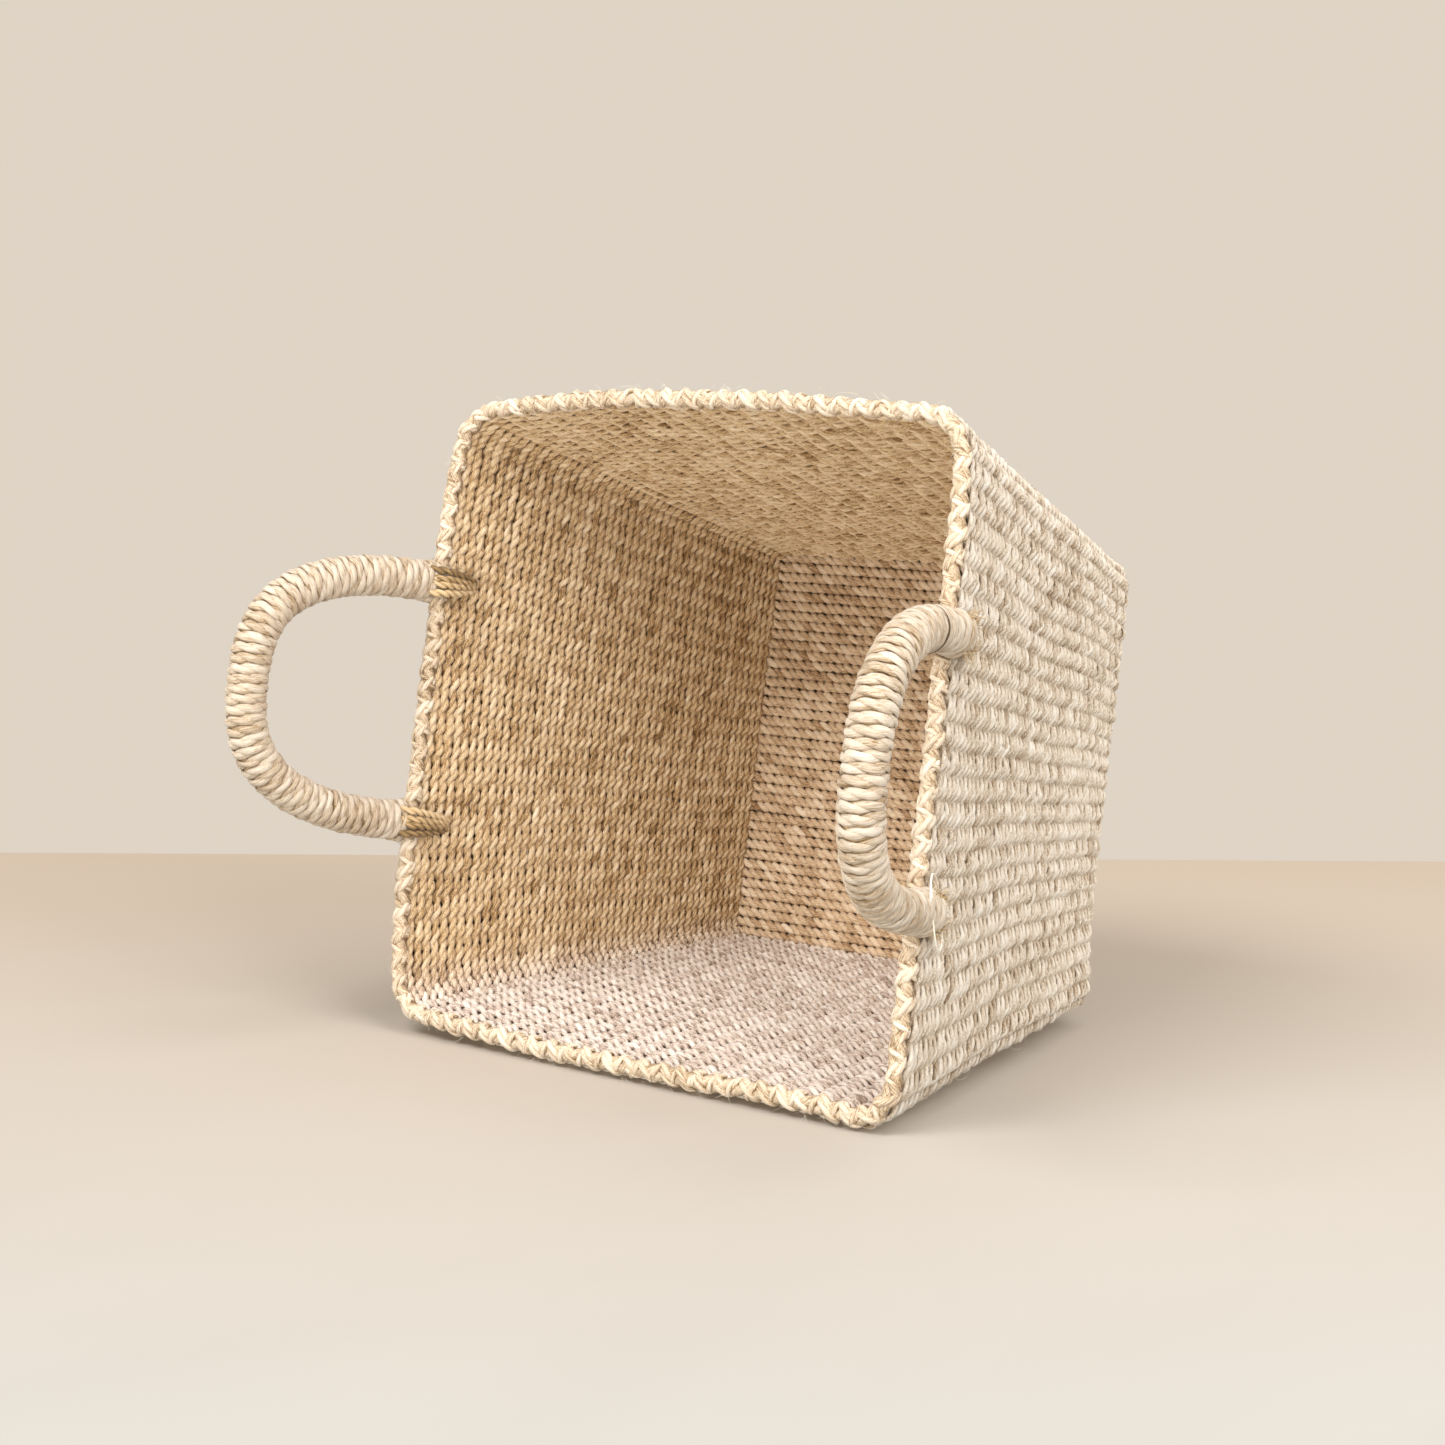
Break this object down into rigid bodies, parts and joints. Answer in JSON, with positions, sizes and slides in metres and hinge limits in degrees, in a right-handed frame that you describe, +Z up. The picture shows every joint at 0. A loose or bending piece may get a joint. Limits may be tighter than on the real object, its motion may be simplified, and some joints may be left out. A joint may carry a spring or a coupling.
{
  "type": "storage bin",
  "caption": "Tapered square woven-fibre storage bin, open at the top, with a braided rim and rope loop handles on opposite walls.",
  "frame": {"origin": "centre of the base's underside, on the surface that the bin stands on", "axes": "+Z up through the mouth, X across the two walls that carry the handles, Y across the two plain walls"},
  "size_m": [0.3362, 0.285, 0.3064],
  "materials": {
    "outer_weft_fibre": "matt, undyed",
    "inner_weft_fibre": "matt, undyed",
    "base_fibre": "matt, undyed",
    "stake_fibre": "matt, undyed",
    "rim_fibre": "matt, undyed",
    "wrap_twine": "matt, combed and pale",
    "core_cord": "matt, twisted"
  },
  "bodies": {
    "basket": {"base_outer_weft": "base_fibre", "base_stakes": "stake_fibre", "base_inner_weft": "base_fibre", "back_wall_outer_weft": "outer_weft_fibre", "back_wall_inner_weft": "inner_weft_fibre", "back_wall_stakes": "stake_fibre", "back_corner_weft": "outer_weft_fibre", "back_rim_braid": "rim_fibre", "back_rim_corner": "rim_fibre", "left_wall_outer_weft": "outer_weft_fibre", "left_wall_inner_weft": "inner_weft_fibre", "left_wall_stakes": "stake_fibre", "left_corner_weft": "outer_weft_fibre", "left_rim_braid": "rim_fibre", "left_rim_corner": "rim_fibre", "front_wall_outer_weft": "outer_weft_fibre", "front_wall_inner_weft": "inner_weft_fibre", "front_wall_stakes": "stake_fibre", "front_corner_weft": "outer_weft_fibre", "front_rim_braid": "rim_fibre", "front_rim_corner": "rim_fibre", "right_wall_outer_weft": "outer_weft_fibre", "right_wall_inner_weft": "inner_weft_fibre", "right_wall_stakes": "stake_fibre", "right_corner_weft": "outer_weft_fibre", "right_rim_braid": "rim_fibre", "right_rim_corner": "rim_fibre", "right_leg_collars": "wrap_twine", "right_anchor_cords": "core_cord", "right_cord_tails": "core_cord", "left_leg_collars": "wrap_twine", "left_anchor_cords": "core_cord", "left_cord_tails": "core_cord"},
    "right_handle": {"right_handle_core": "core_cord", "right_handle_wrap": "wrap_twine"},
    "left_handle": {"left_handle_core": "core_cord", "left_handle_wrap": "wrap_twine"}
  },
  "joints": [
    {"name": "right_handle_swing", "type": "hinge", "parent": "basket", "child": "right_handle", "pos_m": [0.14439, 0, 0.22213], "axis": [0, 1, 0], "range_deg": [-80, 80], "stiffness_Nm_per_rad": 0.25, "springref_deg": -0.8},
    {"name": "left_handle_swing", "type": "hinge", "parent": "basket", "child": "left_handle", "pos_m": [-0.14439, 0, 0.22213], "axis": [0, -1, 0], "range_deg": [-80, 80], "stiffness_Nm_per_rad": 0.25, "springref_deg": -0.8}
  ]
}
